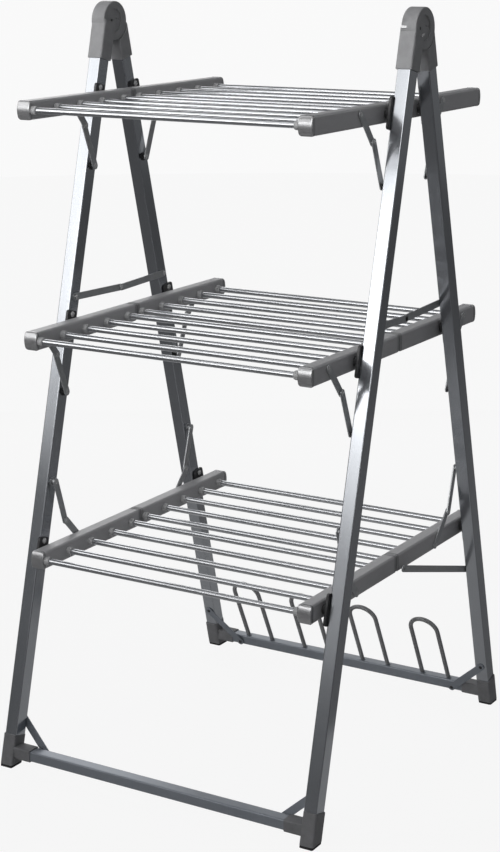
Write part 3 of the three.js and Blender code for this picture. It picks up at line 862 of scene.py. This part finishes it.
class AIRER_OT_hinge_caps(bpy.types.Operator):
    """Adds the moulded hinge caps with their lugs and the latch"""

    bl_idname = "airer.hinge_caps"
    bl_label = "Hinge caps"

    def execute(self, context):
        for end in ("front", "back"):
            model = hinge_cap(end == "front")
            for side in ("left", "right"):
                cap = copy_of(model, to_corner(end, side))
                if (end, side) == ("front", "right"):
                    cut_latch_window(cap)
                node = f"{end}_{side}_hinge_cap"
                dress(cap, f"{end}_{side}_cap", "grey_plastic", "hinge_plastic", node, angle=28)
            remove(model)
        face = CAP_OUTER - DISH[3]
        start, stop = ((y, HINGE_HEIGHT + rise) for y, rise in LUG_ENDS)
        lug = flat_bar(start, stop, LUG_WIDTH, face - LUG_SUNK, face + LUG_PROUD)
        steel, node = ("stay_steel", "rivet_steel"), "front_{side}_hinge_cap"
        dress_corners(part(lug, "front_{side}_cap_lug", *steel, node), corners=BOTH_SIDES)
        latch = box(LATCH_LOW, LATCH_HIGH)
        bevel(latch, lambda edge: all(v.co.y < 0 for v in edge.verts), LATCH_EDGE, 3)
        place = Matrix.Translation((0, LATCH_SUNK - DISC_RADIUS, HINGE_HEIGHT + LATCH_RISE))
        move(latch, place @ Matrix.Rotation(LATCH_TILT, 4, "X"))
        dress(latch, "front_right_cap_latch", *steel, "front_right_hinge_cap")
        return {"FINISHED"}


class AIRER_OT_feet(bpy.types.Operator):
    """Adds the moulded feet with their crossbar sockets and rubber soles"""

    bl_idname = "airer.feet"
    bl_label = "Feet"

    def execute(self, context):
        half, top = FOOT_DEPTH / 2, along_leg(FOOT_HEIGHT)
        foot = box((FOOT_INNER, -half, along_leg(FOOT_BLANK)), (FOOT_OUTER, half, top))
        bevel(foot, runs_along(2), FOOT_CORNER, 5)
        bevel(foot, rim(2, top), FOOT_EDGE, 3)
        move(foot, LEG_FRAME)
        plane = leg_plane(BAR_CENTRE)
        deep, tall = BAR_DEPTH / 2 + SOCKET_WALL, BAR_HEIGHT / 2 + SOCKET_WALL
        socket = box(
            (SOCKET_MOUTH, plane - deep, BAR_CENTRE - tall),
            (FOOT_INNER + SOCKET_LAP, plane + deep, BAR_CENTRE + tall),
        )
        bevel(socket, runs_along(0), SOCKET_CORNER, 4)
        bevel(socket, rim(0, SOCKET_MOUTH), SOCKET_EDGE, 2)
        combine(foot, "UNION", socket)
        bisect(foot, FOOT_SHELL_END, use_fill=True, clear_inner=True)
        deep, (low, high) = half - SOLE_INSET, SOLE_BLANK
        sole = box(
            (FOOT_INNER + SOLE_INSET, -deep, low),
            (FOOT_OUTER - SOLE_INSET, deep, high),
        )
        bevel(sole, runs_along(2), SOLE_CORNER, 5)
        move(sole, LEG_FRAME)
        bisect(sole, SOLE_TOP, use_fill=True, clear_outer=True)
        bisect(sole, 0, use_fill=True, clear_inner=True)
        bevel(sole, rim(2, 0), SOLE_EDGE, 2)
        for model, name, look in (
            (foot, "foot_shell", "foot_plastic"),
            (sole, "foot_sole", "sole_rubber"),
        ):
            name = "{end}_{side}_" + name
            dress_corners(part(model, name, "grey_plastic", look, "{end}_{side}_foot"))
        return {"FINISHED"}


class AIRER_OT_crossbars(bpy.types.Operator):
    """Adds the crossbars, their gusset strips and screws"""

    bl_idname = "airer.crossbars"
    bl_label = "Crossbars"

    def execute(self, context):
        plane, reach = leg_plane(BAR_CENTRE), SOCKET_MOUTH + BAR_HOLD
        bar = box(
            (-reach, plane - BAR_DEPTH / 2, BAR_CENTRE - BAR_HEIGHT / 2),
            (reach, plane + BAR_DEPTH / 2, BAR_CENTRE + BAR_HEIGHT / 2),
        )
        bevel(bar, runs_along(0), BAR_CORNER, 4)
        slot, node = "leg_aluminium", "{end}_crossbar"
        tube = part(bar, "{end}_crossbar_tube", slot, "slate_aluminium", node)
        dress_corners(tube, corners=BOTH_ENDS)
        # Gussets are modelled with their faces square to X, and swapped onto the leg's inner face.
        face = -LEG_DEPTH / 2 - GAP
        out = face - GUSSET_THICKNESS
        ends = (
            (LEG_CENTRE, along_leg(GUSSET_LEG_HEIGHT)),
            (GUSSET_BAR_PLACE, along_leg(BAR_CENTRE)),
        )
        strip = flat_bar(*ends, GUSSET_WIDTH, out, face, GUSSET_EDGE)
        screws = joined(*(gusset_screw(out, *place) for place in ends))
        for model, name, look in (
            (strip, "gusset", "slate_aluminium"),
            (screws, "gusset_screws", "bracket_steel"),
        ):
            move(model, LEG_FRAME @ SWAP_XY)
            dress_corners(part(model, "{end}_{side}_" + name, slot, look, node))
        return {"FINISHED"}


def gusset_screw(face, y, z):
    """Domed screw head with a cross recess."""
    head = turned(dome(SCREW_RADIUS, SCREW_RISE), (face + HEAD_SUNK, y, z), 28)
    recess = [
        box((face - OVERRUN, y - deep, z - tall), (face - RECESS_FLOOR, y + deep, z + tall))
        for deep, tall in ((RECESS_LONG, RECESS_WIDE), (RECESS_WIDE, RECESS_LONG))
    ]
    return combine(head, "DIFFERENCE", *recess)


class AIRER_OT_hangers(bpy.types.Operator):
    """Adds the bent shoe hangers on the back crossbar"""

    bl_idname = "airer.hangers"
    bl_label = "Shoe hangers"

    def execute(self, context):
        radius = context.scene.airer_sizes.hanger_radius
        plane, top = leg_plane(BAR_CENTRE), BAR_CENTRE + BAR_HEIGHT / 2
        base, half = top - HANGER_SUNK, HANGER_WIDTH / 2
        shoulder = HANGER_LENGTH - half

        def place(x, up):
            return (x, plane - up * math.sin(HANGER_LEAN), base + up * math.cos(HANGER_LEAN))

        ups = [shoulder * i / HANGER_SIDE_STEPS for i in range(HANGER_SIDE_STEPS)]
        path = [place(-half, up) for up in ups]
        for i in range(HANGER_BEND_STEPS + 1):
            angle = math.pi * (1 - i / HANGER_BEND_STEPS)
            path.append(place(half * math.cos(angle), shoulder + half * math.sin(angle)))
        path += [place(half, up) for up in reversed(ups)]
        hanger = wire(path, radius, 5)
        ring = turned(HANGER_RING, sides=28)
        lift = HANGER_SUNK / math.cos(HANGER_LEAN)
        slot, node = "leg_aluminium", "back_crossbar"
        for number, middle in enumerate(HANGER_PLACES, 1):
            name = f"shoe_hanger_{number}"
            made = copy_of(hanger, Matrix.Translation((middle, 0, 0)))
            dress(made, name, slot, "hanger_enamel", node)
            for side, x in (("left", -half), ("right", half)):
                seat = Matrix.Translation((middle + x, place(x, lift)[1], top - GAP))
                made = copy_of(ring, seat @ Matrix.Rotation(-math.pi / 2, 4, "Y"))
                dress(made, f"{name}_{side}_collar", slot, "slate_aluminium", node)
        remove(hanger, ring)
        return {"FINISHED"}


def rail_box(start, end, proud=0.0):
    """A length of a rail's section at the height 0, with round edges."""
    tall = RAIL_HEIGHT / 2 + proud
    piece = box((RAIL_INNER - proud, start, -tall), (RAIL_OUTER + proud, end, tall))
    return bevel(piece, runs_along(1), RAIL_CORNER + proud, 6)


def crown_fall(x, z):
    """How far a cap's front falls back at a place, given from its middle."""
    half = (RAIL_OUTER - RAIL_INNER) / 2 + CAP_PROUD
    tall, corner = RAIL_HEIGHT / 2 + CAP_PROUD, RAIL_CORNER + CAP_PROUD
    edge = min(tall - z, half - x)
    past = Vector((x - half + corner, z - tall + corner))
    if min(past) > 0:
        edge = corner - past.length
    return CROWN[min(CROWN, key=lambda inset: abs(inset - edge))] if edge < CROWN_REACH else 0


def rail_cap(ribs):
    """A rail's moulded outer cap: a soft square with a barrel front and fine upright ribs."""
    front, middle = WING_OUTER, (RAIL_INNER + RAIL_OUTER) / 2
    cap = rail_box(front - CAP_LENGTH, front, CAP_PROUD)
    edit(cap, "FACE", lambda face: face.normal.y > 0.9)
    for inset in CAP_INSETS:
        bpy.ops.mesh.inset(thickness=inset, depth=0)
    close()
    for vertex in cap.data.vertices:
        if vertex.co.y > front - NEAR:
            vertex.co.y -= crown_fall(abs(vertex.co.x - middle), abs(vertex.co.z))
    bevel(cap, rim(1, front - CAP_LENGTH), CAP_BACK_EDGE, 2)
    rib = box(
        (-RIB_WIDTH / 2, front - RIB_ROOT, -RIB_HEIGHT / 2),
        (RIB_WIDTH / 2, front + RIB_PROUD, RIB_HEIGHT / 2),
    )
    bevel(rib, runs_along(2, lambda middle: middle.y > front), RIB_EDGE, 2)
    start = RAIL_INNER - CAP_PROUD + RIB_MARGIN
    step = 2 * (middle - start) / (ribs - 1)
    made = [copy_of(rib, Matrix.Translation((start + step * i, 0, 0))) for i in range(ribs)]
    remove(rib)
    cap = joined(cap, *made)
    for i in range(-BARREL_CUTS, BARREL_CUTS + 1):
        bisect(cap, BARREL_PITCH * i)
    for vertex in cap.data.vertices:
        if vertex.co.y > front - BARREL_DEPTH:
            vertex.co.y -= vertex.co.z**2 / (2 * BARREL_RADIUS)
    return cap


class AIRER_OT_rails(bpy.types.Operator):
    """Adds the twelve rails with their caps, plugs, pivot pins and stay rivets"""

    bl_idname = "airer.rails"
    bl_label = "Rails"

    def execute(self, context):
        joint = WING_INNER + PLUG_LENGTH
        tube = rail_box(joint, WING_OUTER - CAP_LENGTH + RAIL_LAP)
        cap = rail_cap(context.scene.airer_sizes.rib_count)
        plug = rail_box(WING_INNER, joint + RAIL_LAP)
        bevel(plug, rim(1, WING_INNER), PLUG_EDGE, 3)
        # The inner end is round below, where the other wing swings past it.
        tall, low, high = RAIL_HEIGHT / 2, RAIL_INNER - OVERRUN, RAIL_OUTER + OVERRUN
        y, z = WING_INNER + PLUG_ROUND, PLUG_ROUND - tall
        under = box((low, WING_INNER - OVERRUN, -tall - OVERRUN), (high, y, z))
        bore(under, (y, z), PLUG_ROUND, low, high, 64)
        for piece in (tube, plug):
            combine(piece, "DIFFERENCE", copy_of(under))
        remove(under)
        models = (
            (tube, "rail_tube", "rail_grey", "rail_paint"),
            (cap, "rail_cap", "grey_plastic", "rail_cap_plastic"),
            (plug, "rail_plug", "grey_plastic", "hinge_plastic"),
        )
        prefix, node, body = "{tier}_{end}_{side}_", "{tier}_{end}_{side}_rail", "{tier}_{end}_wing"
        for tier, height in TIERS.items():
            lift = Matrix.Translation((0, 0, height))
            pivot_out = leg_plane(height) + PIVOT_OUTBOARD
            out, up = STAYS[tier]["rail"]
            pin = turned(WING_PIN, (RAIL_OUTER, pivot_out, 0))
            rivet = turned(RAIL_RIVET, (RAIL_OUTER, pivot_out + out, up))
            rivets = move(joined(pin, rivet), lift)
            parts = [
                part(copy_of(model, lift), prefix + name, slot, look, node, body, 30)
                for model, name, slot, look in models
            ]
            name = prefix + "rail_rivets"
            parts.append(part(rivets, name, "stay_steel", "rivet_steel", node, body))
            dress_corners(*parts, tier=tier)
        remove(tube, cap, plug)
        return {"FINISHED"}


class AIRER_OT_tubes(bpy.types.Operator):
    """Adds the thirty heating tubes with a collar on each end"""

    bl_idname = "airer.tubes"
    bl_label = "Heating tubes"

    def execute(self, context):
        sizes = context.scene.airer_sizes
        wide, end = sizes.collar_radius, -sizes.collar_length
        mouth = RAIL_INNER - COLLAR_GAP
        reach, inner = mouth + TUBE_HOLD, TUBE_RADIUS - COLLAR_BITE
        tube = turned([(-reach, 0), (-reach, TUBE_RADIUS), (reach, TUBE_RADIUS), (reach, 0)])
        nose = [(end + before, wide - less) for before, less in COLLAR_NOSE]
        collar = turned([(0, inner), (0, wide), *nose, (end, inner)], (mouth, 0, 0), 28)
        pair = joined(collar, copy_of(collar, to_corner("back", "left")))
        for tier, height in TIERS.items():
            for end in ("front", "back"):
                body, node = f"{tier}_{end}_wing", f"{tier}_{end}_heating_tubes"
                for number, y in enumerate(TUBES[end], 1):
                    lift = Matrix.Translation((0, y, height))
                    name = f"{tier}_{end}_tube_{number}"
                    looks = ("tube_aluminium", "polished_tube")
                    dress(copy_of(tube, lift), name, *looks, node, body)
                    looks = ("grey_plastic", "collar_plastic")
                    dress(copy_of(pair, lift), name + "_collars", *looks, node, body)
        remove(tube, pair)
        return {"FINISHED"}


def stay_places(tier):
    """Depth and height of a stay's rail pivot, knee and leg end."""
    stay, height = STAYS[tier], TIERS[tier]
    pivot = Vector((leg_plane(height) + PIVOT_OUTBOARD, height))
    rail = pivot + Vector(stay["rail"])
    stud_height = height - stay["drop"]
    leg = Vector((leg_plane(stud_height), stud_height))
    first, last = stay["lengths"]
    span = (leg - rail).length
    along = (first**2 - last**2 + span**2) / (2 * span)
    aside = math.sqrt(max(first**2 - along**2, 0))
    turn = (leg - rail).normalized()
    knee = rail + turn * along - Vector((-turn.y, turn.x)) * aside
    return rail, knee, leg


class AIRER_OT_stays(bpy.types.Operator):
    """Adds the two-link folding stays under and over the wings"""

    bl_idname = "airer.stays"
    bl_label = "Folding stays"

    def execute(self, context):
        for tier in TIERS:
            rail, knee, leg = stay_places(tier)
            low, high = RAIL_LINK_FACE, RAIL_LINK_FACE + LINK_THICKNESS
            first = flat_bar(rail, knee, LINK_WIDTH, low, high)
            bore(first, rail, LINK_HOLE, low, high)
            low, high = LEG_LINK_FACE, LEG_LINK_FACE + LINK_THICKNESS
            last = flat_bar(knee, leg, LINK_WIDTH, low, high)
            knuckle = turned(KNEE_RIVET, (RAIL_LINK_FACE, *knee))
            head = turned(dome(LEG_RIVET_RADIUS, LEG_RIVET_RISE), (low + HEAD_SUNK, *leg))
            parts = [
                part(
                    model,
                    "{tier}_{end}_{side}_stay_" + name + "_piece",
                    "stay_steel",
                    look,
                    "{tier}_{end}_{side}_stay_" + link + "_link",
                    "{tier}_{end}_" + link + "_links",
                )
                for model, name, link, look in (
                    (first, "rail_link", "rail", "zinc_steel"),
                    (last, "leg_link", "leg", "zinc_steel"),
                    (knuckle, "knee_rivet", "rail", "rivet_steel"),
                    (head, "leg_rivet", "leg", "rivet_steel"),
                )
            ]
            dress_corners(*parts, tier=tier)
        return {"FINISHED"}


class AIRER_OT_spreaders(bpy.types.Operator):
    """Adds the spreaders between the front and back legs, and the low strut"""

    bl_idname = "airer.spreaders"
    bl_label = "Spreaders and strut"

    def execute(self, context):
        knuckle = (0, SPREADER_HEIGHT - SPREADER_SAG)
        for end, sign in (("front", -1), ("back", 1)):
            low, high = SPREADER_FACES[end], SPREADER_FACES[end] + SPREADER_THICKNESS
            on_leg = (sign * leg_plane(SPREADER_HEIGHT), SPREADER_HEIGHT)
            link = flat_bar(on_leg, knuckle, SPREADER_WIDTH, low, high)
            bore(link, on_leg, SPREADER_HOLE, low, high)
            self.add(link, f"spreader_{end}_bar", "zinc_steel", end)
        rivet = turned(SPREADER_KNUCKLE, (SPREADER_FACES["back"], *knuckle))
        self.add(rivet, "spreader_knuckle_rivet", "rivet_steel", "front")

        low, high = BRACKET_FACE, BRACKET_FACE + STRUT_THICKNESS
        seat = Vector((leg_plane(STRUT_HEIGHT), STRUT_HEIGHT))
        free = seat + Vector((-STRUT_REACH, STRUT_RISE))
        strut = flat_bar(seat, free, STRUT_WIDTH, low, high, STRUT_EDGE)
        bore(strut, free, STRUT_HOLE, low, high, 24)
        spacer = turned(STRUT_SPACER, (BRACKET_FACE, *seat))
        dress(strut, "low_strut", "leg_aluminium", "zinc_steel", "back_right_leg")
        dress(spacer, "low_strut_rivet", "stay_steel", "rivet_steel", "back_right_leg")
        return {"FINISHED"}

    def add(self, model, name, look, end):
        """A piece of both spreaders, which rides with the front or the back links."""
        node, body = f"{{side}}_spreader_{end}_link", f"spreader_{end}_links"
        piece = part(model, "{side}_" + name, "stay_steel", look, node, body)
        dress_corners(piece, corners=BOTH_SIDES)


class AIRER_OT_stage(bpy.types.Operator):
    """Adds the pale studio floor, the soft lamps and the camera"""

    bl_idname = "airer.stage"
    bl_label = "Studio and camera"

    def execute(self, context):
        scene = context.scene
        scene.view_settings.view_transform = "Standard"
        add_floor()
        add_air(scene)
        for name, lamp in LAMPS.items():
            add_lamp(name, *lamp)
        add_camera(scene)
        return {"FINISHED"}


def add_floor():
    """A wide ground, and a paper sheet that widens away from the camera."""
    deselect()
    bpy.ops.mesh.primitive_circle_add(
        vertices=GROUND_SIDES, radius=GROUND_RADIUS, fill_type="NGON", location=(0, 0, -GROUND_DROP)
    )
    ground = settle()
    deselect()
    bpy.ops.mesh.primitive_plane_add(size=1)
    sheet = settle()
    for vertex in sheet.data.vertices:
        along, half = SHEET_NEAR if vertex.co.y < 0 else SHEET_FAR
        vertex.co = (math.copysign(half, vertex.co.x), along, 0)
    move(sheet, HEADING)
    for piece, name in ((ground, "studio_ground"), (sheet, "studio_sheet")):
        piece.name = name
        piece.data.materials.append(finish_of(name))


def add_air(scene):
    """A dim cool world, near white to the camera."""
    world = scene.world or bpy.data.worlds.new("studio")
    scene.world = world
    world.use_nodes = True
    sky = Nodes(world.node_tree)
    plain, white = (
        sky.node("ShaderNodeBackground", {}, {"Color": color, "Strength": strength}).outputs[0]
        for color, strength in (((0.93, 0.96, 1.0), 0.12), ((1, 1, 1), 0.95))
    )
    output = sky.node("ShaderNodeOutputWorld")
    sky.show_white(output.inputs[0], plain, white, 1.0, 0.06)


def add_lamp(name, place, target, size, power, spread=180):
    deselect()
    bpy.ops.object.light_add(type="AREA", location=place)
    lamp = bpy.context.active_object
    lamp.name = name
    lamp.data.shape = "RECTANGLE"
    lamp.data.size, lamp.data.size_y = size
    lamp.data.energy = power
    lamp.data.spread = math.radians(spread)
    lamp.visible_camera = False
    aim = Vector(target) - Vector(place)
    lamp.rotation_euler = aim.to_track_quat("-Z", "Y").to_euler()


def add_camera(scene):
    deselect()
    bpy.ops.object.camera_add(location=CAMERA_PLACE)
    camera = bpy.context.active_object
    camera.name = "photo_camera"
    lens = camera.data
    lens.sensor_width = SENSOR_WIDTH
    lens.lens = FOCAL_LENGTH / PHOTO_HEIGHT * SENSOR_WIDTH
    lens.shift_x = (PHOTO_WIDTH / 2 - IMAGE_CENTRE[0]) / PHOTO_HEIGHT
    lens.shift_y = (IMAGE_CENTRE[1] - PHOTO_HEIGHT / 2) / PHOTO_HEIGHT
    lens.clip_start, lens.clip_end = 0.05, 50
    turn = HEADING @ Matrix.Rotation(CAMERA_TILT, 4, "X") @ Matrix.Rotation(CAMERA_ROLL, 4, "Z")
    camera.rotation_euler = turn.to_euler()
    scene.camera = camera


class AIRER_PT_panel(bpy.types.Panel):
    """Lists the airer's pieces, sizes and colours"""

    bl_label = "Heated clothes airer"
    bl_idname = "AIRER_PT_panel"
    bl_space_type = "VIEW_3D"
    bl_region_type = "UI"
    bl_category = "Airer"

    def draw(self, context):
        column = self.layout.column(align=True)
        for piece in OPERATORS:
            column.operator(piece.bl_idname)
        for group in (context.scene.airer_sizes, context.scene.airer_colours):
            for name in group.__annotations__:
                column.prop(group, name)


OPERATORS = (
    AIRER_OT_stage,
    AIRER_OT_legs,
    AIRER_OT_hinge_caps,
    AIRER_OT_feet,
    AIRER_OT_crossbars,
    AIRER_OT_hangers,
    AIRER_OT_rails,
    AIRER_OT_tubes,
    AIRER_OT_stays,
    AIRER_OT_spreaders,
)
CLASSES = (AirerSizes, AirerColours, *OPERATORS, AIRER_PT_panel)


def register():
    for made in CLASSES:
        bpy.utils.register_class(made)
    bpy.types.Scene.airer_sizes = PointerProperty(type=AirerSizes)
    bpy.types.Scene.airer_colours = PointerProperty(type=AirerColours)


def unregister():
    del bpy.types.Scene.airer_colours
    del bpy.types.Scene.airer_sizes
    for made in reversed(CLASSES):
        bpy.utils.unregister_class(made)


def main():
    register()
    for piece in OPERATORS:
        group, name = piece.bl_idname.split(".")
        getattr(getattr(bpy.ops, group), name)()


if __name__ == "__main__":
    main()
